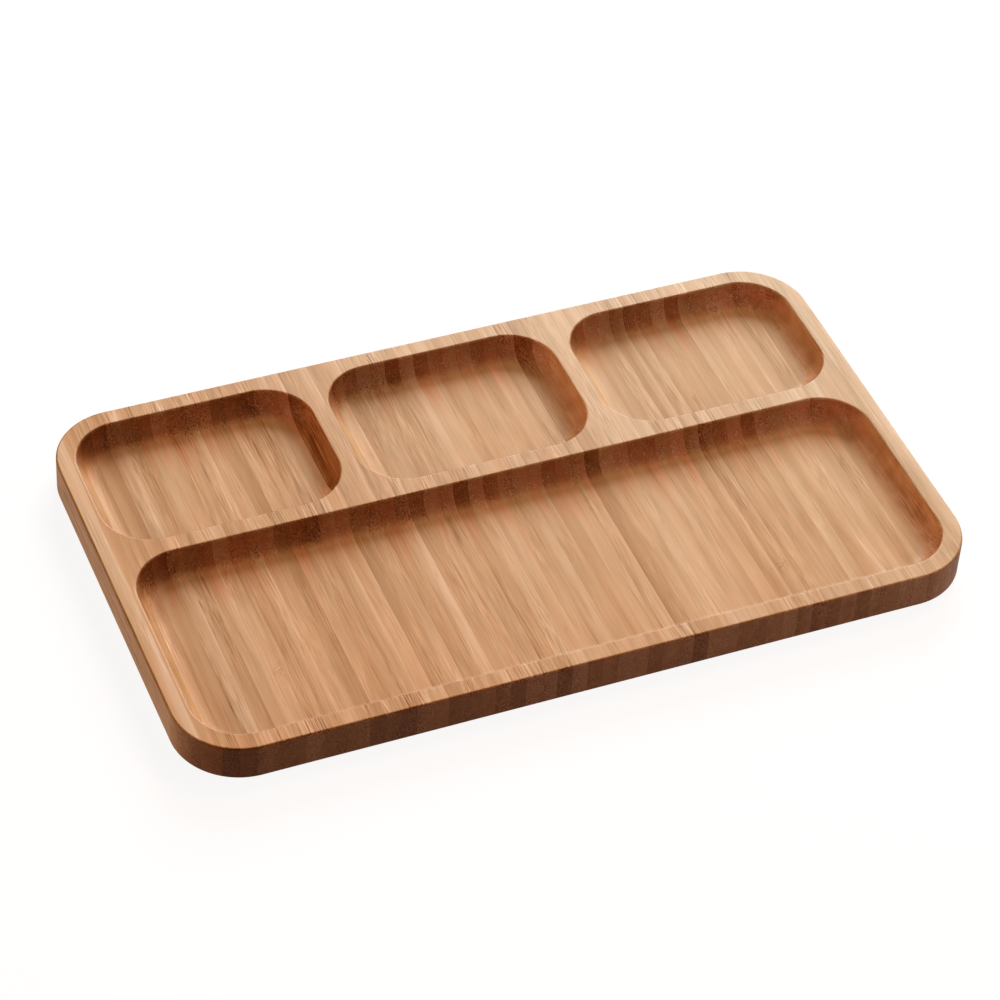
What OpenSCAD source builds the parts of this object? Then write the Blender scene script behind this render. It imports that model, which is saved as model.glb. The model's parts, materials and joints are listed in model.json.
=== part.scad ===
// Divided compartment plate, side-pressed bamboo.
// Bamboo strips stand on edge, are glued face to face into one plate, and the four
// compartments are then milled across the glue lines. Each strip is drawn as the piece that
// it is after milling. The plate lies in the X-Y plane with its underside at zero: X runs
// along its length, Y from the front edge to the back edge, and the grain runs along Y.

/* [Plate] */
// Length of the plate
board_l = 350; // [300:1:380]
// Width of the plate, front to back
board_w = 207; // [185:1:235]
// Thickness of the plate
board_t = 17; // [15:0.5:24]
// Radius of the plate's four corners
corner_r = 29; // [20:1:34]
// Radius to which the outer edges are eased, top and bottom
edge_r = 1; // [0.5:0.1:2]

/* [Bamboo strips] */
// Width that one strip is planed to, before the row is set out
strip_w = 6.7; // [6.4:0.1:14]

/* [Compartments] */
// Width of the rim round the plate
rim_w = 8.5; // [6:0.1:12]
// Width of the walls between compartments
divider_w = 9; // [6:0.1:12]
// Number of small compartments in the back row
small_n = 3; // [2:1:4]
// Size of the small compartments from front to back
small_d = 73.5; // [60:0.5:90]
// Depth of the compartments
pocket_depth = 10.5; // [8:0.5:12]
// Radius of the compartments' corners, seen from above
pocket_r = 21.5; // [14:0.5:26]
// Radius of the cove between a compartment's walls and its floor
cove_r = 9.5; // [3:0.1:9.5]
// Radius to which the compartments' upper edges are eased
lip_r = 1; // [0.4:0.1:1.4]

/* [Hidden] */
// Cuts run past the surface that they leave by this much
overrun = 1;
$fn = 96;

// The row of strips fills the length with whole strips
strip_n = round(board_l / strip_w);
strip_pitch = board_l / strip_n;
function strip_x(i) = i * strip_pitch - board_l / 2;
function two_digits(n) = n < 10 ? str("0", n) : str(n);

// Heights and half sizes
floor_z = board_t - pocket_depth;
half_l = board_l / 2;
half_w = board_w / 2;
cove = min(cove_r, pocket_depth - lip_r);

// The small compartments share the length inside the rims, the long one takes the front
small_l = (board_l - 2 * rim_w - (small_n - 1) * divider_w) / small_n;
small_y = half_w - rim_w - small_d;
long_y = rim_w - half_w;
function small_x(k) = rim_w - half_l + k * (small_l + divider_w);

// The plate and each compartment as [left, right, front, back], at the upright faces
plate = [-half_l, half_l, -half_w, half_w];
pockets = [
    for (k = [0 : small_n - 1]) [small_x(k), small_x(k) + small_l, small_y, small_y + small_d],
    [rim_w - half_l, half_l - rim_w, long_y, small_y - divider_w]
];

// Tone of each strip from left to right: p pale, l light, m medium, w warm, d deep
strip_tones = "llwwpmllmpmdlmlmdlwplmlwlpmllmlldwllpmmwmlmlpllplwwp";
tone_letters = "plmwd";
tone_colours = ["#E0BC92", "#D8AE84", "#CFA27A", "#CC9A74", "#B9835F"];
function tone_colour(i) =
    tone_colours[search(strip_tones[i % len(strip_tones)], tone_letters)[0]];

// Profiles of an edge, drawn outwards to the radius r from the centre line of the corners,
// and inwards past it where a straight run also fills the middle

module quarter_disc(r) {
    intersection() {
        circle(r);
        square(r);
    }
}

// The plate's edge, eased above and below
module plate_edge(r, inwards) {
    flat_h = board_t - 2 * edge_r;
    translate([-inwards, 0]) square([inwards + r - edge_r, board_t]);
    translate([r - edge_r, edge_r]) square([edge_r, flat_h]);
    translate([r - edge_r, edge_r + flat_h]) quarter_disc(edge_r);
    translate([r - edge_r, edge_r]) mirror([0, 1]) quarter_disc(edge_r);
}

// What a compartment takes away: floor, cove, upright wall and eased lip
module pocket_edge(r, inwards) {
    cove_z = floor_z + cove;
    lip_z = board_t - lip_r;
    translate([-inwards, floor_z]) square([inwards + r - cove, cove]);
    translate([r - cove, cove_z]) mirror([0, 1]) quarter_disc(cove);
    translate([-inwards, cove_z]) square([inwards + r, board_t + overrun - cove_z]);
    translate([r, lip_z]) difference() {
        square([lip_r, lip_r + overrun]);
        translate([lip_r, 0]) circle(lip_r);
    }
}

module edge_profile(kind, r, inwards) {
    if (kind == "plate") plate_edge(r, inwards);
    else pocket_edge(r, inwards);
}

// The left half (side -1) or right half (side 1) of a form with round corners, which fills
// box = [left, right, front, back]. Its straight run starts at the centre line of the corners
// and ends just past the middle of the form. Only what lies between two planes across the
// length is drawn: the end beyond that centre line is left out where the planes miss it
module half_form(kind, box, r, side, from, to) {
    centre_x = side < 0 ? box[0] + r : box[1] - r;
    run_x = (box[1] - box[0]) / 2 - r + overrun;
    run_y = (box[3] - box[2]) / 2 - r + overrun;
    for (row = [-1, 1])
        translate([centre_x, row < 0 ? box[2] + r : box[3] - r, 0])
            mirror([side < 0 ? 1 : 0, 0, 0]) mirror([0, row < 0 ? 1 : 0, 0]) {
                if (side < 0 ? to > centre_x : from < centre_x)
                    rotate([90, 0, -90]) mirror([1, 0, 0])
                        linear_extrude(run_x) edge_profile(kind, r, run_y);
                if (side < 0 ? from < centre_x : to > centre_x) {
                    rotate([90, 0, 0]) linear_extrude(run_y) edge_profile(kind, r, 0);
                    rotate_extrude(angle = 90) edge_profile(kind, r, 0);
                }
            }
}

// The half forms that two planes across the length reach, of a form whose halves meet at
// the middle of its box and which stands out from the box by the spare width
module form_between(kind, box, r, spare, from, to) {
    middle = (box[0] + box[1]) / 2;
    if (from < middle && to > box[0] - spare) half_form(kind, box, r, -1, from, to);
    if (to > middle && from < box[1] + spare) half_form(kind, box, r, 1, from, to);
}

// One strip's slice of the plate, milled
module strip(i) {
    from = strip_x(i);
    to = strip_x(i + 1);
    color(tone_colour(i))
        difference() {
            intersection() {
                translate([from, -half_w - overrun, -overrun])
                    cube([to - from, board_w + 2 * overrun, board_t + 2 * overrun]);
                form_between("plate", plate, corner_r, 0, from, to);
            }
            for (p = pockets) form_between("pocket", p, pocket_r, lip_r, from, to);
        }
}

for (i = [0 : strip_n - 1])
    strip(i);
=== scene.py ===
"""Looks of the divided compartment plate: side-pressed bamboo, a plain studio and its camera.

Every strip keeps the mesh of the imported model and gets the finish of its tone. The grain runs
along Y, and each pattern is laid out in the plate's own millimetres, so one pattern in space gives
long fibres on the flats and fibre ends on the walls that cut across them.
"""
import json
import math
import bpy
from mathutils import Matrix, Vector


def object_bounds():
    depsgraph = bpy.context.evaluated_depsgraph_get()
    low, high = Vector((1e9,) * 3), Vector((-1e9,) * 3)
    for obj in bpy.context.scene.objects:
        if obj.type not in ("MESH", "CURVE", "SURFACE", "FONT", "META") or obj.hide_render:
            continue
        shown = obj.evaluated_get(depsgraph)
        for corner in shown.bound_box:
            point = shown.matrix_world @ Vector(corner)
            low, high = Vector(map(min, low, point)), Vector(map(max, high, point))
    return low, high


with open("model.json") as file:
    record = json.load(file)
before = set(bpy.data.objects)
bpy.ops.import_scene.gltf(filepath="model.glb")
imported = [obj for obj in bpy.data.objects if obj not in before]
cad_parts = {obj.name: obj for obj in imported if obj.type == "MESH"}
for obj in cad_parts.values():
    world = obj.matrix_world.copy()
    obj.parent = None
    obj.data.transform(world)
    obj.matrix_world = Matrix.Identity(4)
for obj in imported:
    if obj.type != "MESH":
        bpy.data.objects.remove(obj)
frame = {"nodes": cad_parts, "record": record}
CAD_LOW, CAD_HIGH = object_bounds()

from types import SimpleNamespace

import bpy
from bpy.props import FloatProperty, FloatVectorProperty, IntProperty, PointerProperty
from mathutils import Matrix, Vector

bl_info = {
    "name": "Divided bamboo plate",
    "version": (1, 0, 0),
    "blender": (4, 5, 0),
    "location": "3D View > Sidebar > Bamboo plate",
    "description": "Finishes a divided plate of side-pressed bamboo and sets its studio and camera",
    "category": "Object",
}

MM = 0.001
STRIPS = sorted(name for name in frame["nodes"] if name.startswith("strip_"))

# The plate's sizes in millimetres, the unit that its patterns are laid out in
HALF_LENGTH = (CAD_HIGH.x - CAD_LOW.x) / 2 / MM
HALF_WIDTH = (CAD_HIGH.y - CAD_LOW.y) / 2 / MM
TOP = (CAD_HIGH.z - CAD_LOW.z) / MM
STRIP_PITCH = 2 * HALF_LENGTH / len(STRIPS)
CORNER_RADIUS = 29.0
RIM = 8.5
# The compartments' far walls, from the plate's middle towards the back
FAR_WALLS = (12.5, 95.0)
# Heights between which a face inside the rim belongs to a compartment
COMPARTMENT_HEIGHTS = (3.5, 16.0)
# The sanded look starts this deep under the top, and is complete from the second depth up
SANDED_DEPTHS = (1.0, 0.3)

# Each strip reads its own part of every pattern, this many millimetres from its neighbour's
OWN_STEP = (31.0, 17.0, 23.0)
# Pitch and run of a slow sway of the fibres, and the millimetres that it spans on each axis
DRIFT = (40 * MM, 80 * MM, (4.0, 0.0, 6.0))

# How far a face turns along the grain before it starts to cut the fibres, and cuts them squarely
CUTS = (0.1, 0.7)
# Strength of the cut look at the plate's left and right ends, stronger at the left as painted shade
# where less light falls on the cut faces
PAINTED_CUT_SHADE = (1.1, 0.77)
# How far a face turns across the strips before it starts to show their broad side, and shows it all
LOOKS_RIGHT = (0.5, 1.0)
LOOKS_LEFT = (-0.02, -0.5)

# What a draw between 0 and 1 is multiplied by, and what is added to it: for a strip's brightness,
# for its fall in brightness from one side to the other, and for its brightness on cut faces
SHADE = (0.18, 0.92)
LEAN = (0.8, -0.32)
END_SHADE = (0.6, -0.5)
# Share of the fine fibres in the smoothest and in the most finely ribbed strip
RIBBED = (0.4, 1.9)
# How dense the bundles lie, from this far across the strip to its outer side
DENSE_FROM = 0.1
DENSITY = (0.25, 1.0)
# A bundle fades out between these distances from its middle, in bundle pitches
BUNDLE_EDGE = (0.15, 0.5)
# Pitch and run of the patches of fine fibres, the noise at their edges, and the least and most
# that a patch shows
PATCHES = (9 * MM, 45 * MM)
PATCH_EDGE = (-0.08, 0.12)
PATCH_SHARE = (0.35, 1.0)
FLECK_SHARE = 0.7
# Of the cut vessels only those drawn above this share show. One fades out between these distances
# from its middle, in vessel pitches, and has this depth there
VESSEL_RARITY = 0.93
VESSEL_EDGE = (0.1, 0.25)
VESSEL_DEPTH = 0.5

# How much each pattern brightens or darkens the bamboo
STREAK_DEPTHS = {"stripes": 0.45, "fine": 0.8, "mottle": 0.45, "clouds": 0.9, "lines": -0.24,
                 "vessel": -0.3, "glue": 0.4}
# How much the fine fibres gain on the sanded top, and how many times that on the broad faces
DRAWN_OUT = 0.7
BROAD_FIBRES = 2.0
# How bright the bundle ends are on cut faces, and how strong the fine fibres' ends: what sawn
# outer faces add to the routed walls' strength, and that strength
BUNDLE_ENDS = 1.1
FIBRE_ENDS = (0.8, 0.7)
# The edge strip's share of the patterns' depth
EDGE_FIGURE = 0.6

# Painted shadow of the far walls, darker and redder on the floors in front of them: how patchy it
# is, where it starts and where it is complete, in millimetres before a far wall, how far past the
# wall's plane it is counted, and how much it darkens
WALL_SHADOW_PATCHES = 3.0
WALL_SHADOW_REACH = (32.0, 8.0)
WALL_SHADOW_PAST = 0.1
WALL_SHADOW_DARKENING = -0.04
# How much brighter the compartments' right walls are made, as painted light on walls that face away
# from the key softbox, and the strip that the left compartment's right wall lays open at its dark
# side, with the share of brightness that it loses there
RIGHT_WALL_PAINTED_LIGHT = 0.16
DARK_WALL = 17
DARK_WALL_LOSS = -0.48

# The culm's marks: the strip of each, its middle and half length along the grain in millimetres,
# its place off the strip's middle in strip widths, and how much it darkens
MARKS = (
    (8, -57, 5, 0.2, 0.05),
    (41, -68, 5, 0.0, 0.08),
    (44, -51, 15, 0.0, 0.12),
    (12, -10, 8, 0.0, 0.14),
    (40, -82, 22, 0.0, 0.08),
    (41, -35, 60, -0.3, 0.14),
    (2, -12, 8, -0.2, 0.25),
    (1, 38, 12, -0.4, 0.2),
    (43, -104, 7, 0.0, 0.3),
    (17, -104, 7, 0.0, 0.15),
    (3, -12, 9, -0.2, 0.15),
)
# Marks up to this half length are culm nodes, and the longer ones are stains
NODE_LENGTH = 6
# A mark's half width in strip widths, and the shares of its size between which it fades out
MARK_WIDTH = 0.55
MARK_EDGE = (0.4, 1.1)
# Pitch and run of the sway in a mark's outline, and the millimetres that it spans on each axis
WANDER = (4 * MM, 9 * MM, (2.5, 8.0, 0.0))
# Pitch and run of a culm node's dashes, and how strong they are
DASHES = (1.6 * MM, 0.6 * MM)
DASH_DEPTH = 0.9

# The darkest that a spot gets beside its strip's tone
LEAST_LEVEL = 0.25
# The difference between mottling and stripes that makes a spot all straw coloured, and all red
REDDENED = (-0.15, 0.15)
# How much of the board's painted sheen, paler from left to right, it also shows from front to back
SHEEN_BACK = 0.5
# Where the painted sheen of the backdrop's light on the top starts, as a share of the plate's
# length
TOP_SHEEN_FROM = 0.5
# The fibres' relief: how strong the bump is, its height in metres and the bundles' share of it
BUMP_STRENGTH = 0.25
BUMP_HEIGHT = 0.05 * MM
BUNDLE_RELIEF = -0.5


def linear(hex_colour):
    """The linear red, green and blue of an sRGB hex value"""
    parts = [int(hex_colour[k:k + 2], 16) / 255 for k in (1, 3, 5)]
    return tuple(c / 12.92 if c <= 0.04045 else ((c + 0.055) / 1.055) ** 2.4 for c in parts)


# The floor reaches this far from the plate's middle, and lies this little under the plate, in
# metres, so that the two don't share a plane
FLOOR_REACH = 4.0
FLOOR_DROP = 0.02 * MM
# Where the softboxes that fill the shadows stand, as azimuth and elevation in degrees with
# azimuth 0 at the front, and their width and height in metres
HIGH_FROM = (120, 55)
SIDE_FROM = (-90, 15)
FRONT_FROM = (50, 30)
FILL_SIZE = (0.8, 0.8)
WHITE = linear("#FFFFFF")
# Width of the camera's film in millimetres
FILM_WIDTH = 36


class BambooFinish(bpy.types.PropertyGroup):
    """Colours and pattern sizes of side-pressed steamed bamboo, sanded and oiled"""
    pale: FloatVectorProperty(
        name="Pale strips", description="Tone of the palest strips",
        subtype="COLOR", default=linear("#D3AD84"))
    light: FloatVectorProperty(
        name="Light strips", description="Tone of most strips",
        subtype="COLOR", default=linear("#CCA57A"))
    medium: FloatVectorProperty(
        name="Medium strips", description="Tone between light and deep",
        subtype="COLOR", default=linear("#C9A074"))
    warm: FloatVectorProperty(
        name="Warm strips", description="Tone of the reddish strips",
        subtype="COLOR", default=linear("#C59C6F"))
    deep: FloatVectorProperty(
        name="Deep strips", description="Tone of the reddish brown strips",
        subtype="COLOR", default=linear("#BA9061"))
    edge_strip: FloatVectorProperty(
        name="Edge strip", description="Tone of the straw coloured strip at the left",
        subtype="COLOR", default=linear("#D6B793"))
    deepening: FloatVectorProperty(
        name="Deepening", description="How fast red, green and blue fall where the steam browned "
        "the bamboo more", subtype="XYZ", default=(0.68, 1.0, 1.6))
    # Painted sheen: how much paler the board is made from its left to its right end, where its
    # satin surface mirrors the key softbox
    paling: FloatVectorProperty(
        name="Paling", description="How much paler the board gets from its left to its right end, "
        "in red, green and blue", subtype="XYZ", default=(0.9, 1.02, 1.08))
    # Painted sheen of the backdrop's light on the sanded top towards its right end
    top_paling: FloatVectorProperty(
        name="Top paling", description="How much paler the sanded top gets at its right end",
        subtype="XYZ", default=(1.0, 1.06, 1.13))
    straw: FloatVectorProperty(
        name="Straw tint", description="Tint of parts that the steam coloured less red",
        subtype="COLOR", default=linear("#FBFFFF"))
    blush: FloatVectorProperty(
        name="Blush tint", description="Tint of parts that the steam coloured more red",
        subtype="COLOR", default=linear("#FFFCF7"))
    # Tints of faces that cut the fibres: darker at the left and lighter at the right, as painted
    # shade and light
    left_end_grain: FloatVectorProperty(
        name="Left end grain", description="Tint at the left of faces that cut the fibres",
        subtype="COLOR", default=linear("#BFA893"))
    right_end_grain: FloatVectorProperty(
        name="Right end grain", description="Tint at the right of faces that cut the fibres",
        subtype="COLOR", default=linear("#DDBEC8"))
    left_end: FloatVectorProperty(
        name="Left end", description="Tint of the outermost strip's outer face at the left",
        subtype="COLOR", default=linear("#CEC298"))
    right_end: FloatVectorProperty(
        name="Right end", description="Tint of the outermost strip's outer face at the right",
        subtype="COLOR", default=linear("#E0CBBC"))
    # Painted shade on the compartments' walls that face the key softbox, and painted light on those
    # that face away from it
    left_walls: FloatVectorProperty(
        name="Left walls", description="Tint of the compartments' walls that look right",
        subtype="COLOR", default=linear("#DEE1F5"))
    right_walls: FloatVectorProperty(
        name="Right walls", description="Tint of the compartments' walls that look left",
        subtype="COLOR", default=linear("#FFEDE5"))
    # Painted shadow: tint of the floors in front of the far walls
    crept_oil: FloatVectorProperty(
        name="Crept oil", description="Tint of floors that drank oil from a cut wall",
        subtype="COLOR", default=linear("#FFE5DB"))

    # Bundles of fibres lie half a millimetre to a millimetre apart in the culm, and are drawn at
    # the wide end of that
    bundle_pitch: FloatProperty(
        name="Bundle pitch", description="Spacing of the fibre bundles",
        unit="LENGTH", default=1.0 * MM)
    bundle_run: FloatProperty(
        name="Bundle run", description="Length over which one bundle stays in sight",
        unit="LENGTH", default=120 * MM)
    # A single fibre is some hundredths of a millimetre thick, too fine to show, so strands of
    # fibres are drawn in its place
    fibre_pitch: FloatProperty(
        name="Fibre pitch", description="Spacing of the strands of fine fibres",
        unit="LENGTH", default=0.5 * MM)
    fibre_run: FloatProperty(
        name="Fibre run", description="Length of a fine fibre's streak",
        unit="LENGTH", default=60 * MM)
    fleck_run: FloatProperty(
        name="Fleck run", description="Length of the short flecks among the fibres",
        unit="LENGTH", default=14 * MM)
    # Vessels are two tenths of a millimetre wide, and a cut one is drawn coarser than that
    vessel_pitch: FloatProperty(
        name="Vessel pitch", description="Spacing of the cut vessels",
        unit="LENGTH", default=1.6 * MM)
    vessel_run: FloatProperty(
        name="Vessel run", description="Length of a cut vessel's dash",
        unit="LENGTH", default=11 * MM)
    stripe_pitch: FloatProperty(
        name="Stripe pitch", description="Width of the soft stripes in a strip",
        unit="LENGTH", default=3.2 * MM)
    stripe_run: FloatProperty(
        name="Stripe run", description="Length over which a soft stripe fades",
        unit="LENGTH", default=110 * MM)
    mottle_pitch: FloatProperty(
        name="Mottling", description="Size of the slow changes of tone, across",
        unit="LENGTH", default=6 * MM)
    mottle_run: FloatProperty(
        name="Mottling run", description="Size of the slow changes of tone, along",
        unit="LENGTH", default=40 * MM)
    cloud: FloatProperty(
        name="Clouds", description="Size of the clouds on the strips' broad faces",
        unit="LENGTH", default=8 * MM)
    # The real film of glue is a tenth of a millimetre thick, too fine to show
    glue_line: FloatProperty(
        name="Glue line", description="Half width of a glue line, drawn coarser than the real film",
        unit="LENGTH", default=0.25 * MM)

    shade_draw: IntProperty(
        name="Shade draw", description="Which random row of shades the strips get",
        default=1052848)
    lean_draw: IntProperty(
        name="Lean draw", description="Which random row of darker sides the strips get",
        default=130637)
    end_draw: IntProperty(
        name="End draw", description="Which random row of end-grain shades the strips get",
        default=574511)
    rib_draw: IntProperty(
        name="Rib draw", description="Which random row of ribbed and smooth strips is drawn",
        default=1716835)
    glue_draw: IntProperty(
        name="Glue draw", description="Which random row of dark and pale glue lines is drawn",
        default=0)
    # Painted shadow: which random row says how far the far walls' shadow reaches in each strip
    creep_draw: IntProperty(
        name="Creep draw", description="Which random row says how far oil crept in each strip",
        default=7)

    routed_roughness: FloatProperty(
        name="Routed roughness", description="Roughness of the milled compartments",
        min=0, max=1, default=0.5)
    sanded_roughness: FloatProperty(
        name="Sanded roughness", description="Roughness of the belt-sanded top",
        min=0, max=1, default=0.35)
    ior: FloatProperty(
        name="IOR", description="Index of refraction of oiled wood",
        min=1, max=2, default=1.47)
    gloss: FloatProperty(
        name="Gloss", description="Specular level, under a half because open pores are dull",
        min=0, max=1, default=0.15)


class StudioSettings(bpy.types.PropertyGroup):
    """Camera, floor and lamps of the studio"""
    camera_azimuth: FloatProperty(
        name="Azimuth", description="Turn of the camera round the plate",
        subtype="ANGLE", default=math.radians(-24.82))
    camera_elevation: FloatProperty(
        name="Elevation", description="Height of the camera over the table",
        subtype="ANGLE", default=math.radians(43.44))
    camera_roll: FloatProperty(
        name="Roll", description="Turn of the camera about its own axis",
        subtype="ANGLE", default=math.radians(4.11))
    camera_distance: FloatProperty(
        name="Distance", description="From the aim to the camera",
        unit="LENGTH", default=1.578)
    camera_aim: FloatVectorProperty(
        name="Aim", description="Point that the camera looks at",
        subtype="TRANSLATION", default=(2.5 * MM, 13.1 * MM, 0))
    camera_lens: FloatProperty(
        name="Lens", description="Focal length in millimetres on 36 mm film",
        unit="CAMERA", default=132.3)

    key_azimuth: FloatProperty(
        name="Key azimuth", description="Turn of the key softbox, behind on the right",
        subtype="ANGLE", default=math.radians(150))
    key_elevation: FloatProperty(
        name="Key elevation", description="Height of the key softbox",
        subtype="ANGLE", default=math.radians(28))
    key_distance: FloatProperty(
        name="Key distance", description="From the plate to the key softbox",
        unit="LENGTH", default=1.8)
    key_size: FloatVectorProperty(
        name="Key size", description="Width and height of the key softbox",
        size=2, unit="LENGTH", default=(1.0, 0.85))
    key_power: FloatProperty(
        name="Key", description="Power of the key softbox",
        subtype="POWER", default=38)
    high_power: FloatProperty(
        name="High", description="Power of the high softbox at the right",
        subtype="POWER", default=15)
    side_power: FloatProperty(
        name="Side", description="Power of the fill at the left",
        subtype="POWER", default=25)
    front_power: FloatProperty(
        name="Front", description="Power of the fill in front",
        subtype="POWER", default=4.9)
    fill_colour: FloatVectorProperty(
        name="Fill colour", description="Colour of the high and front softboxes",
        subtype="COLOR", default=linear("#FFD4B1"))
    side_colour: FloatVectorProperty(
        name="Side colour", description="Colour of the fill at the left",
        subtype="COLOR", default=linear("#FFC49E"))
    fill_distance: FloatProperty(
        name="Fill distance", description="From the plate to the high and side softboxes",
        unit="LENGTH", default=2.4)
    front_distance: FloatProperty(
        name="Front distance", description="From the plate to the front softbox",
        unit="LENGTH", default=1.2)
    fill: FloatProperty(
        name="Fill", description="Strength of the light from all round",
        default=0.015)
    paper: FloatVectorProperty(
        name="Paper", description="Colour of the floor by which it lights the plate and takes its "
        "shadow", subtype="COLOR", default=linear("#6C6C6C"))
    paper_white: FloatProperty(
        name="Paper white", description="White that the floor adds for the eye, 1 being all of it",
        min=0, max=1, default=0.9)


def add(tree, kind, *values, **settings):
    """Adds a shader node with its settings, and fills or links the inputs that it then shows.

    Values go to the inputs in order and None leaves one alone. A dict among them names its inputs.
    """
    made = tree.nodes.new("ShaderNode" + kind)
    for key, value in settings.items():
        setattr(made, key, value)
    shown = [socket for socket in made.inputs if socket.enabled]
    pairs = []
    for place, value in enumerate(values):
        pairs += value.items() if isinstance(value, dict) else [(shown[place].identifier, value)]
    for key, value in pairs:
        socket = next(s for s in shown if key in (s.identifier, s.name))
        if isinstance(value, bpy.types.Node):
            value = next(s for s in value.outputs if s.enabled)
        if isinstance(value, bpy.types.NodeSocket):
            tree.links.new(value, socket)
        elif value is not None:
            socket.default_value = value
    return made


def cleared_tree(owner):
    """The node tree of a material or world, without the nodes that it comes with"""
    owner.use_nodes = True
    owner.node_tree.nodes.clear()
    return owner.node_tree


def drawn(tree, number, row):
    """A number between 0 and 1 for each strip or joint, from one random row"""
    seed = add(tree, "Math", number, float(row), operation="ADD")
    return add(tree, "TexWhiteNoise", seed, noise_dimensions="1D")


def stretched(tree, point, pitch, run):
    """The point in units of a pattern's pitch, and of its run along the grain"""
    return add(tree, "VectorMath", point, (MM / pitch, MM / run, MM / pitch), operation="MULTIPLY")


def grain(tree, point, pitch, run, detail):
    """Streaks along the grain, around zero"""
    streaks = add(tree, "TexNoise", {"Vector": stretched(tree, point, pitch, run), "Scale": 1.0,
                                     "Detail": detail})
    return add(tree, "Math", streaks, 0.5, operation="SUBTRACT")


def swayed(tree, point, own, pitch, run, span):
    """The point, moved to and fro on each axis within a span of millimetres"""
    sway = add(tree, "TexNoise", {"Vector": stretched(tree, own, pitch, run), "Scale": 1.0,
                                  "Detail": 1.0})
    sway = add(tree, "VectorMath", sway.outputs["Color"], (0.5, 0.5, 0.5), operation="SUBTRACT")
    return add(tree, "VectorMath", sway, span, point, operation="MULTIPLY_ADD")


def in_strip(tree, place, strip):
    """One in the strip of that number, counted from 1 at the left, and zero elsewhere"""
    return add(tree, "Math", place.number, float(strip - 1), 0.5, operation="COMPARE")


def tinted(tree, colour, tint, share):
    """The colour, multiplied as far as the share says by a tint that may itself be a node"""
    tint = tint if isinstance(tint, bpy.types.Node) else (*tint, 1)
    return add(tree, "Mix", share, colour, tint, data_type="RGBA", blend_type="MULTIPLY")


def scaled(tree, colour, base, power):
    """The colour, multiplied in red, green and blue by a base raised to a power"""
    factor = add(tree, "VectorMath", base, power, operation="POWER")
    return add(tree, "VectorMath", colour, factor, operation="MULTIPLY")


def places(tree):
    """Where a point lies, in millimetres and counted in strips from the plate's left end"""
    point = add(tree, "VectorMath", add(tree, "TexCoord").outputs["Object"], {"Scale": 1 / MM},
                operation="SCALE")
    axes = add(tree, "SeparateXYZ", point)
    strips = add(tree, "Math", axes.outputs["X"], HALF_LENGTH, operation="ADD")
    strips = add(tree, "Math", strips, STRIP_PITCH, operation="DIVIDE")
    number = add(tree, "Math", strips, operation="FLOOR")
    # No pattern runs on over a glue line
    own = add(tree, "VectorMath", number, OWN_STEP, point, operation="MULTIPLY_ADD")
    return SimpleNamespace(
        point=point, y=axes.outputs["Y"], z=axes.outputs["Z"], strips=strips, number=number,
        across=add(tree, "Math", strips, operation="FRACT"),
        along=add(tree, "Math", strips, len(STRIPS), operation="DIVIDE"),
        # Fibres drift a little, so bundles come to the surface and leave it again
        own=own, drifted=swayed(tree, own, own, *DRIFT))


def beyond_rim(tree, point):
    """One on the plate's outer faces, which lie more than half a rim outside the compartments"""
    core = (HALF_LENGTH - CORNER_RADIUS, HALF_WIDTH - CORNER_RADIUS, 0.0)
    outward = add(tree, "VectorMath", point, operation="ABSOLUTE")
    outward = add(tree, "VectorMath", outward, core, operation="SUBTRACT")
    outward = add(tree, "VectorMath", outward, (0.0, 0.0, 0.0), operation="MAXIMUM")
    outward = add(tree, "VectorMath", outward, (1.0, 1.0, 0.0), operation="MULTIPLY")
    outward = add(tree, "VectorMath", outward, operation="LENGTH").outputs["Value"]
    return add(tree, "Math", outward, CORNER_RADIUS - RIM / 2, operation="GREATER_THAN")


def faces(tree, place):
    """How a face lies to the fibres and strips, and which tool made it"""
    facing = add(tree, "SeparateXYZ", add(tree, "TexCoord").outputs["Normal"])
    # The flats don't cut the fibres, and the walls across the grain cut them squarely
    cut = add(tree, "Math", facing.outputs["Y"], operation="ABSOLUTE")
    cut = add(tree, "MapRange", cut, *CUTS, 0.0, 1.0, interpolation_type="SMOOTHSTEP")
    # Painted shade: the cut faces are made darker and browner towards the left end, where less
    # light falls on them
    cut_shade_along = add(tree, "MapRange", place.along, 0.0, 1.0, *PAINTED_CUT_SHADE)
    cut = add(tree, "Math", cut, cut_shade_along, operation="MULTIPLY")
    look_right, look_left = (
        add(tree, "MapRange", facing.outputs["X"], *turn, 0.0, 1.0, interpolation_type="SMOOTHSTEP")
        for turn in (LOOKS_RIGHT, LOOKS_LEFT))
    outside = beyond_rim(tree, place.point)
    inside = add(tree, "Math", 1.0, outside, operation="SUBTRACT")
    start, end = SANDED_DEPTHS
    return SimpleNamespace(
        cut=cut, flat=add(tree, "Math", 1.0, cut, operation="SUBTRACT"),
        broad=add(tree, "Math", look_right, look_left, operation="ADD"),
        left_wall=add(tree, "Math", look_right, inside, operation="MULTIPLY"),
        right_wall=add(tree, "Math", look_left, inside, operation="MULTIPLY"),
        outside=outside, inside=inside,
        sanded=add(tree, "MapRange", place.z, TOP - start, TOP - end, 0.0, 1.0))


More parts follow.
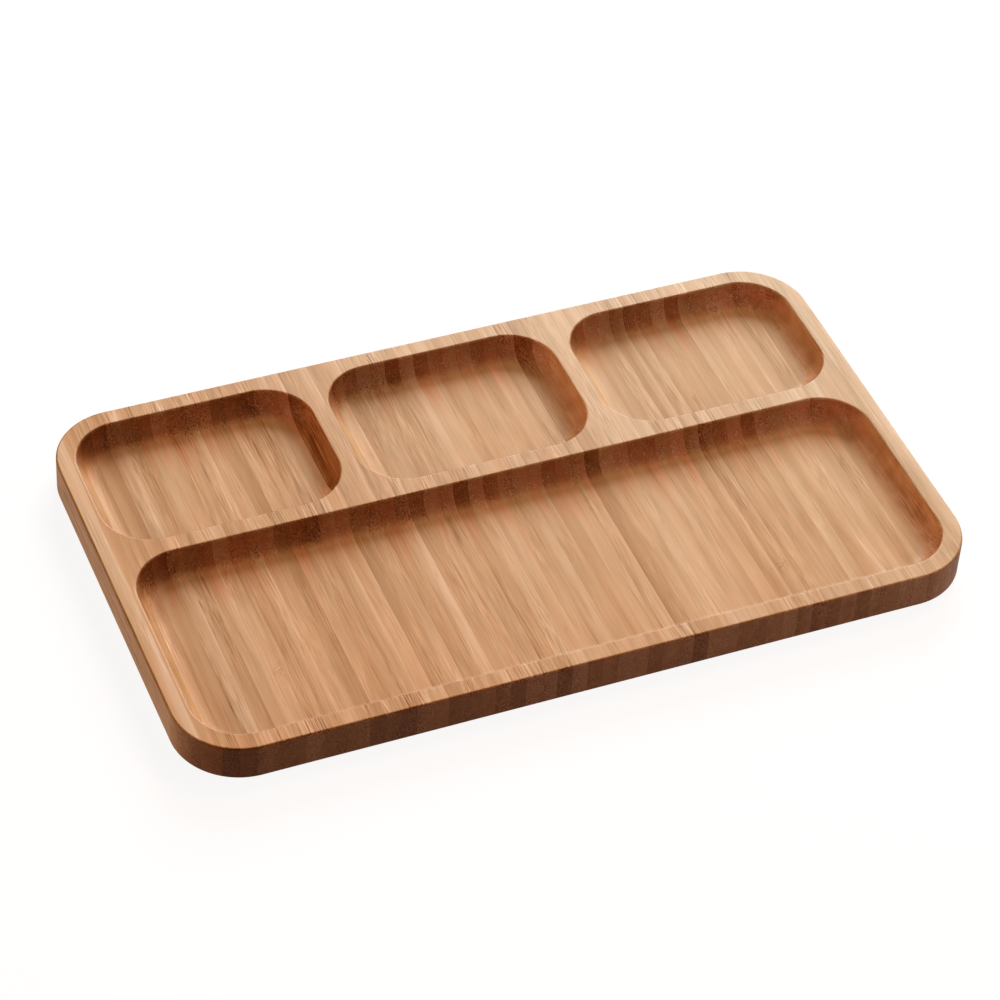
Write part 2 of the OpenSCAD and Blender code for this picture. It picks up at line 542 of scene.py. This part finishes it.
def patterns(tree, place, face, finish):
    """The bamboo's own patterns: streaks around zero, and lines and dashes from zero to one"""
    # A strip is darker towards the culm's dense outer side, which lies left in most of them
    lean = add(tree, "Math", drawn(tree, place.number, finish.lean_draw), *LEAN,
               operation="MULTIPLY_ADD")
    fall = add(tree, "Math", place.across, 0.5, operation="SUBTRACT")
    fall = add(tree, "Math", fall, lean, operation="MULTIPLY")
    outer_left = add(tree, "Math", lean, 0.0, operation="GREATER_THAN")
    from_right = add(tree, "Math", 1.0, place.across, operation="SUBTRACT")
    outer = add(tree, "Mix", outer_left, place.across, from_right, data_type="FLOAT")
    dense = add(tree, "MapRange", outer, DENSE_FROM, 1.0, *DENSITY, interpolation_type="SMOOTHSTEP")

    # Bundles lie close together towards the outer side, and each is as dark as it happens to be
    cells = stretched(tree, place.drifted, finish.bundle_pitch, finish.bundle_run)
    cells = add(tree, "TexVoronoi", {"Vector": cells, "Scale": 1.0})
    own_shade = add(tree, "SeparateColor", cells.outputs["Color"]).outputs["Red"]
    bundle = add(tree, "MapRange", cells, *BUNDLE_EDGE, 1.0, 0.0, interpolation_type="SMOOTHSTEP")
    bundle = add(tree, "Math", bundle, own_shade, operation="MULTIPLY")
    bundles = add(tree, "Math", bundle, dense, operation="MULTIPLY")

    # Fine fibres and short flecks show in patches, and some strips are finely ribbed, some smooth
    patch = grain(tree, place.own, *PATCHES, 1.0)
    patch = add(tree, "MapRange", patch, *PATCH_EDGE, *PATCH_SHARE, interpolation_type="SMOOTHSTEP")
    fibres = grain(tree, place.drifted, finish.fibre_pitch, finish.fibre_run, 2.0)
    flecks = grain(tree, place.drifted, finish.fibre_pitch, finish.fleck_run, 1.0)
    fine = add(tree, "Math", flecks, FLECK_SHARE, fibres, operation="MULTIPLY_ADD")
    fine = add(tree, "Math", fine, patch, operation="MULTIPLY")
    ribbed = drawn(tree, place.number, finish.rib_draw)
    ribbed = add(tree, "MapRange", ribbed, 0.0, 1.0, *RIBBED)
    fine = add(tree, "Math", fine, ribbed, operation="MULTIPLY")

    clouds = grain(tree, place.own, finish.cloud, finish.cloud, 2.0)

    # A vessel that the surface lays open along its length is a short dark dash
    cells = stretched(tree, place.own, finish.vessel_pitch, finish.vessel_run)
    cells = add(tree, "TexVoronoi", {"Vector": cells, "Scale": 1.0})
    rare = add(tree, "SeparateColor", cells.outputs["Color"]).outputs["Green"]
    rare = add(tree, "Math", rare, VESSEL_RARITY, operation="GREATER_THAN")
    vessel = add(tree, "MapRange", cells, *VESSEL_EDGE, VESSEL_DEPTH, 0.0,
                 interpolation_type="SMOOTHSTEP")
    vessel = add(tree, "Math", vessel, rare, operation="MULTIPLY")

    # The nearest glue line is darker, paler or hidden
    joint = add(tree, "Math", place.strips, operation="ROUND")
    off_joint = add(tree, "Math", place.strips, joint, operation="SUBTRACT")
    off_joint = add(tree, "Math", off_joint, operation="ABSOLUTE")
    on_joint = add(tree, "MapRange", off_joint, 0.0, finish.glue_line / MM / STRIP_PITCH, 1.0, 0.0,
                   interpolation_type="SMOOTHSTEP")
    glue = add(tree, "Math", drawn(tree, joint, finish.glue_draw), -0.5, operation="ADD")
    return SimpleNamespace(
        fall=fall, bundle=bundle, bundles=bundles, fine=fine,
        lines=add(tree, "Math", bundles, face.flat, operation="MULTIPLY"),
        stripes=grain(tree, place.drifted, finish.stripe_pitch, finish.stripe_run, 1.0),
        mottle=grain(tree, place.own, finish.mottle_pitch, finish.mottle_run, 2.0),
        clouds=add(tree, "Math", clouds, face.broad, operation="MULTIPLY"),
        vessel=add(tree, "Math", vessel, face.flat, operation="MULTIPLY"),
        glue=add(tree, "Math", glue, on_joint, operation="MULTIPLY"))


def brightness(tree, place, face, pattern, finish, figure):
    """How bright a spot is beside its strip's tone, around one"""
    level = add(tree, "Math", drawn(tree, place.number, finish.shade_draw), *SHADE,
                operation="MULTIPLY_ADD")
    level = add(tree, "Math", level, pattern.fall, operation="ADD")
    for name, depth in STREAK_DEPTHS.items():
        level = add(tree, "Math", getattr(pattern, name), depth * figure, level,
                    operation="MULTIPLY_ADD")
    # The sander draws the fibres out on the top, and the broad faces show them even more
    drawn_out = add(tree, "Math", face.broad, BROAD_FIBRES, face.sanded, operation="MULTIPLY_ADD")
    drawn_out = add(tree, "Math", pattern.fine, drawn_out, operation="MULTIPLY")
    level = add(tree, "Math", drawn_out, DRAWN_OUT, level, operation="MULTIPLY_ADD")
    # Cut faces differ more from strip to strip, and bundle ends stand out pale on them
    ends = add(tree, "Math", drawn(tree, place.number, finish.end_draw), *END_SHADE,
               operation="MULTIPLY_ADD")
    ends = add(tree, "Math", pattern.bundles, BUNDLE_ENDS, ends, operation="MULTIPLY_ADD")
    # The saw left the plate's outer faces rougher than the router left the walls
    rough = add(tree, "Math", face.outside, *FIBRE_ENDS, operation="MULTIPLY_ADD")
    ends = add(tree, "Math", pattern.fine, rough, ends, operation="MULTIPLY_ADD")
    return add(tree, "Math", ends, face.cut, level, operation="MULTIPLY_ADD")


def crept_oil(tree, place, face, pattern, finish):
    """Painted shadow of the far walls on the floors in front of them, reaching further in some
    strips
    """
    wall_shadow_strength = add(tree, "Math", pattern.mottle, WALL_SHADOW_PATCHES,
                drawn(tree, place.number, finish.creep_draw), operation="MULTIPLY_ADD")
    low, high = COMPARTMENT_HEIGHTS
    recessed = add(tree, "Math", place.z, (low + high) / 2, (high - low) / 2, operation="COMPARE")
    recessed = add(tree, "Math", recessed, face.inside, operation="MULTIPLY")
    wall_shadow_strength = add(tree, "Math", wall_shadow_strength, recessed, operation="MULTIPLY")
    start, end = WALL_SHADOW_REACH
    wall_shadow = 0.0
    for wall in FAR_WALLS:
        near = add(tree, "MapRange", place.y, wall - start, wall - end, 0.0, 1.0,
                   interpolation_type="SMOOTHSTEP")
        before = add(tree, "Math", place.y, wall + WALL_SHADOW_PAST, operation="LESS_THAN")
        near = add(tree, "Math", near, before, operation="MULTIPLY")
        wall_shadow = add(tree, "Math", near, wall_shadow_strength, wall_shadow, operation="MULTIPLY_ADD")
    return add(tree, "Math", wall_shadow, 0.0, operation="MAXIMUM")


def walled(tree, place, face, level):
    """The brightness with painted light on the compartments' right walls, one strip of which is
    dark
    """
    level = add(tree, "Math", face.right_wall, RIGHT_WALL_PAINTED_LIGHT, level, operation="MULTIPLY_ADD")
    opened = add(tree, "Math", in_strip(tree, place, DARK_WALL), face.right_wall,
                 operation="MULTIPLY")
    left_over = add(tree, "Math", opened, DARK_WALL_LOSS, 1.0, operation="MULTIPLY_ADD")
    return add(tree, "Math", level, left_over, operation="MULTIPLY")


def marked(tree, place, level):
    """The brightness with the culm's soft brown stains, and its nodes' dashes across the grain"""
    outline = swayed(tree, place.point, place.own, *WANDER)
    dashes = grain(tree, place.own, *DASHES, 0.0)
    for strip, middle, half_length, share, darkening in MARKS:
        centre = ((strip - 0.5 + share) * STRIP_PITCH - HALF_LENGTH, middle, TOP / 2)
        away = add(tree, "VectorMath", outline, centre, operation="SUBTRACT")
        size = (MARK_WIDTH * STRIP_PITCH, half_length, TOP / 2)
        away = add(tree, "VectorMath", away, [1 / side for side in size], operation="MULTIPLY")
        away = add(tree, "VectorMath", away, operation="LENGTH").outputs["Value"]
        mark = add(tree, "MapRange", away, *MARK_EDGE, 1.0, 0.0, interpolation_type="SMOOTHSTEP")
        mark = add(tree, "Math", mark, in_strip(tree, place, strip), operation="MULTIPLY")
        depth = -darkening
        if half_length <= NODE_LENGTH:
            depth = add(tree, "Math", dashes, DASH_DEPTH, depth, operation="MULTIPLY_ADD")
        level = add(tree, "Math", mark, depth, level, operation="MULTIPLY_ADD")
    return level


def coloured(tree, tone, level, wall_shadow, place, face, pattern, finish):
    """The bamboo's colour at a spot, from its strip's tone and its brightness"""
    # Darker bamboo is also redder
    level = add(tree, "Math", level, LEAST_LEVEL, operation="MAXIMUM")
    colour = scaled(tree, tone, level, finish.deepening)
    reddened = add(tree, "Math", pattern.mottle, pattern.stripes, operation="SUBTRACT")
    reddened = add(tree, "MapRange", reddened, *REDDENED, 0.0, 1.0)
    steamed = add(tree, "Mix", reddened, (*finish.straw, 1), (*finish.blush, 1), data_type="RGBA")
    colour = add(tree, "VectorMath", colour, steamed, operation="MULTIPLY")
    # Faces that cut the fibres drink more oil, so they are darker and browner. Their tint gets
    # lighter from the left end to the right as painted light
    end_grain = add(tree, "Mix", place.along, (*finish.left_end_grain, 1),
                    (*finish.right_end_grain, 1), data_type="RGBA")
    colour = tinted(tree, colour, end_grain, face.cut)
    # Painted shadow: the floors in front of the far walls are tinted darker and redder
    colour = tinted(tree, colour, finish.crept_oil, wall_shadow)
    # Faces along the grain show the strips' broad side. The compartments' walls that face the key
    # softbox are tinted darker as painted shade, those that face away from it warmer as painted
    # light, and the plate's outer ends get their own tints
    colour = tinted(tree, colour, finish.left_walls, face.left_wall)
    colour = tinted(tree, colour, finish.right_walls, face.right_wall)
    end_tint = add(tree, "Mix", place.along, (*finish.left_end, 1), (*finish.right_end, 1),
                   data_type="RGBA")
    on_end = add(tree, "Math", face.broad, face.outside, operation="MULTIPLY")
    colour = tinted(tree, colour, end_tint, on_end)
    # Painted sheen: the board is made paler and less red towards its right end and towards the
    # back, where its satin surface mirrors the key softbox
    sheen_share = add(tree, "Math", place.along, 0.5, operation="SUBTRACT")
    sheen_share = add(tree, "Math", place.y, SHEEN_BACK / (2 * HALF_WIDTH), sheen_share,
                operation="MULTIPLY_ADD")
    colour = scaled(tree, colour, finish.paling, sheen_share)
    # Painted sheen: the sanded top is made paler towards the right, where it catches more light
    # from the pale backdrop
    top_sheen_share = add(tree, "MapRange", place.along, TOP_SHEEN_FROM, 1.0, 0.0, 1.0)
    top_sheen_share = add(tree, "Math", top_sheen_share, face.sanded, operation="MULTIPLY")
    return scaled(tree, colour, finish.top_paling, top_sheen_share)


def bamboo(name, tone, finish, figure):
    """Side-pressed steamed bamboo, sanded and oiled: satin tan strips with fine straight fibres"""
    material = bpy.data.materials.new(name)
    tree = cleared_tree(material)
    place = places(tree)
    face = faces(tree, place)
    pattern = patterns(tree, place, face, finish)
    wall_shadow = crept_oil(tree, place, face, pattern, finish)
    level = brightness(tree, place, face, pattern, finish, figure)
    # Painted shadow: the floors in front of the far walls are darker
    level = add(tree, "Math", wall_shadow, WALL_SHADOW_DARKENING, level, operation="MULTIPLY_ADD")
    level = marked(tree, place, walled(tree, place, face, level))

    relief = add(tree, "Math", pattern.bundle, BUNDLE_RELIEF, pattern.fine,
                 operation="MULTIPLY_ADD")
    bump = add(tree, "Bump", {"Strength": BUMP_STRENGTH, "Distance": BUMP_HEIGHT, "Height": relief})
    # The belt sander reaches only the top, and leaves it smoother than the router leaves the rest
    roughness = add(tree, "MapRange", face.sanded, 0.0, 1.0, finish.routed_roughness,
                    finish.sanded_roughness)
    shader = add(tree, "BsdfPrincipled", {
        "Base Color": coloured(tree, tone, level, wall_shadow, place, face, pattern, finish),
        "Roughness": roughness, "IOR": finish.ior, "Specular IOR Level": finish.gloss,
        "Normal": bump})
    add(tree, "OutputMaterial", shader)
    return material


class PLATE_OT_finish_strips(bpy.types.Operator):
    """Gives every bamboo strip the finish of its tone"""
    bl_idname = "plate.finish_strips"
    bl_label = "Finish the strips"

    def execute(self, context):
        finish = context.scene.bamboo_finish
        finished = {}
        for part in frame["record"]["subparts"]:
            tone = part["material_slot"].removeprefix("bamboo_")
            if part["node"] == STRIPS[0]:
                tone = "edge_strip"
            if tone not in finished:
                words = tone.replace("_", " ")
                finished[tone] = bamboo(f"side-pressed steamed bamboo {words}, sanded and oiled",
                                        getattr(finish, tone), finish,
                                        EDGE_FIGURE if tone == "edge_strip" else 1.0)
            strip = frame["nodes"][part["node"]]
            strip.data.materials.clear()
            strip.data.materials.append(finished[tone])
        return {"FINISHED"}


def towards(azimuth, elevation):
    """The direction from the plate to a place round it, azimuth 0 being the front"""
    return Vector((math.sin(azimuth) * math.cos(elevation),
                   -math.cos(azimuth) * math.cos(elevation), math.sin(elevation)))


class PLATE_OT_set_camera(bpy.types.Operator):
    """Sets the camera at the plate's front left, high over the table"""
    bl_idname = "plate.set_camera"
    bl_label = "Set the camera"

    def execute(self, context):
        studio = context.scene.studio
        back = towards(studio.camera_azimuth, studio.camera_elevation)
        right = Vector((0, 0, 1)).cross(back).normalized()
        turn = Matrix((right, back.cross(right), back)).transposed().to_4x4()
        place = Matrix.Translation(Vector(studio.camera_aim) + back * studio.camera_distance)
        data = bpy.data.cameras.new("camera")
        data.lens = studio.camera_lens
        data.sensor_width = FILM_WIDTH
        camera = bpy.data.objects.new("camera", data)
        camera.matrix_world = place @ turn @ Matrix.Rotation(studio.camera_roll, 4, "Z")
        context.scene.collection.objects.link(camera)
        context.scene.camera = camera
        return {"FINISHED"}


def softbox(name, azimuth, elevation, distance, size, watts, colour):
    """A rectangular lamp that looks at the plate from a direction"""
    data = bpy.data.lights.new(name, "AREA")
    data.shape = "RECTANGLE"
    data.size, data.size_y = size
    data.energy = watts
    data.color = colour
    lamp = bpy.data.objects.new(name, data)
    back = towards(azimuth, elevation)
    lamp.location = back * distance
    lamp.rotation_mode = "QUATERNION"
    lamp.rotation_quaternion = back.to_track_quat("Z", "Y")
    bpy.context.scene.collection.objects.link(lamp)


def seen(tree, *rays):
    """One for light paths that start or go on as one of these rays, and zero for the others"""
    path = add(tree, "LightPath")
    first, *others = (path.outputs[f"Is {ray} Ray"] for ray in rays)
    for other in others:
        first = add(tree, "Math", first, other, operation="MAXIMUM")
    return first


class PLATE_OT_set_studio(bpy.types.Operator):
    """Sets a pale floor and the soft lights of a plain studio"""
    bl_idname = "plate.set_studio"
    bl_label = "Set the studio"

    def execute(self, context):
        studio = context.scene.studio
        mesh = bpy.data.meshes.new("floor")
        corners = ((-1, -1), (1, -1), (1, 1), (-1, 1))
        mesh.from_pydata([(x * FLOOR_REACH, y * FLOOR_REACH, -FLOOR_DROP) for x, y in corners],
                         [], [(0, 1, 2, 3)])
        floor = bpy.data.objects.new("floor", mesh)
        context.scene.collection.objects.link(floor)
        # Matt white paper, without gloss. Its white is only for the eye, so that the floor throws
        # little light back and keeps the plate's shadow
        paper = bpy.data.materials.new("matt white paper")
        tree = cleared_tree(paper)
        white = add(tree, "Math", seen(tree, "Camera", "Glossy", "Transmission"),
                    studio.paper_white, operation="MULTIPLY")
        glow = add(tree, "Emission", {"Color": (*WHITE, 1), "Strength": white})
        matt = add(tree, "BsdfDiffuse", (*studio.paper, 1))
        add(tree, "OutputMaterial", add(tree, "AddShader", matt, glow))
        mesh.materials.append(paper)

        softbox("key", studio.key_azimuth, studio.key_elevation, studio.key_distance,
                studio.key_size, studio.key_power, WHITE)
        for name, place, distance, power, colour in (
                ("high", HIGH_FROM, studio.fill_distance, studio.high_power, studio.fill_colour),
                ("side", SIDE_FROM, studio.fill_distance, studio.side_power, studio.side_colour),
                ("front", FRONT_FROM, studio.front_distance, studio.front_power,
                 studio.fill_colour)):
            softbox(name, *map(math.radians, place), distance, FILL_SIZE, power, colour)

        world = bpy.data.worlds.new("studio")
        context.scene.world = world
        tree = cleared_tree(world)
        # The backdrop is white to the eye and through glass, and the satin bamboo doesn't mirror it
        strength = add(tree, "Mix", seen(tree, "Camera", "Transmission"), studio.fill, 1.0,
                       data_type="FLOAT")
        add(tree, "OutputWorld", add(tree, "Background", (*WHITE, 1), strength))
        context.scene.view_settings.view_transform = "Standard"
        return {"FINISHED"}


class PLATE_PT_panel(bpy.types.Panel):
    """Lists the plate's settings and operators"""
    bl_label = "Bamboo plate"
    bl_space_type = "VIEW_3D"
    bl_region_type = "UI"
    bl_category = "Bamboo plate"

    def draw(self, context):
        layout = self.layout
        for heading, group, operators in (
                ("Strips", context.scene.bamboo_finish, [PLATE_OT_finish_strips]),
                ("Studio", context.scene.studio, [PLATE_OT_set_studio, PLATE_OT_set_camera])):
            box = layout.box()
            box.label(text=heading)
            for name in group.bl_rna.properties.keys():
                if name not in ("rna_type", "name"):
                    box.prop(group, name)
            for operator in operators:
                box.operator(operator.bl_idname)


CLASSES = (BambooFinish, StudioSettings, PLATE_OT_finish_strips, PLATE_OT_set_studio,
           PLATE_OT_set_camera, PLATE_PT_panel)


def register():
    for cls in CLASSES:
        bpy.utils.register_class(cls)
    bpy.types.Scene.bamboo_finish = PointerProperty(type=BambooFinish)
    bpy.types.Scene.studio = PointerProperty(type=StudioSettings)


def unregister():
    del bpy.types.Scene.bamboo_finish
    del bpy.types.Scene.studio
    for cls in reversed(CLASSES):
        bpy.utils.unregister_class(cls)


def main():
    register()
    bpy.ops.plate.finish_strips()
    bpy.ops.plate.set_studio()
    bpy.ops.plate.set_camera()


if __name__ == "__main__":
    main()
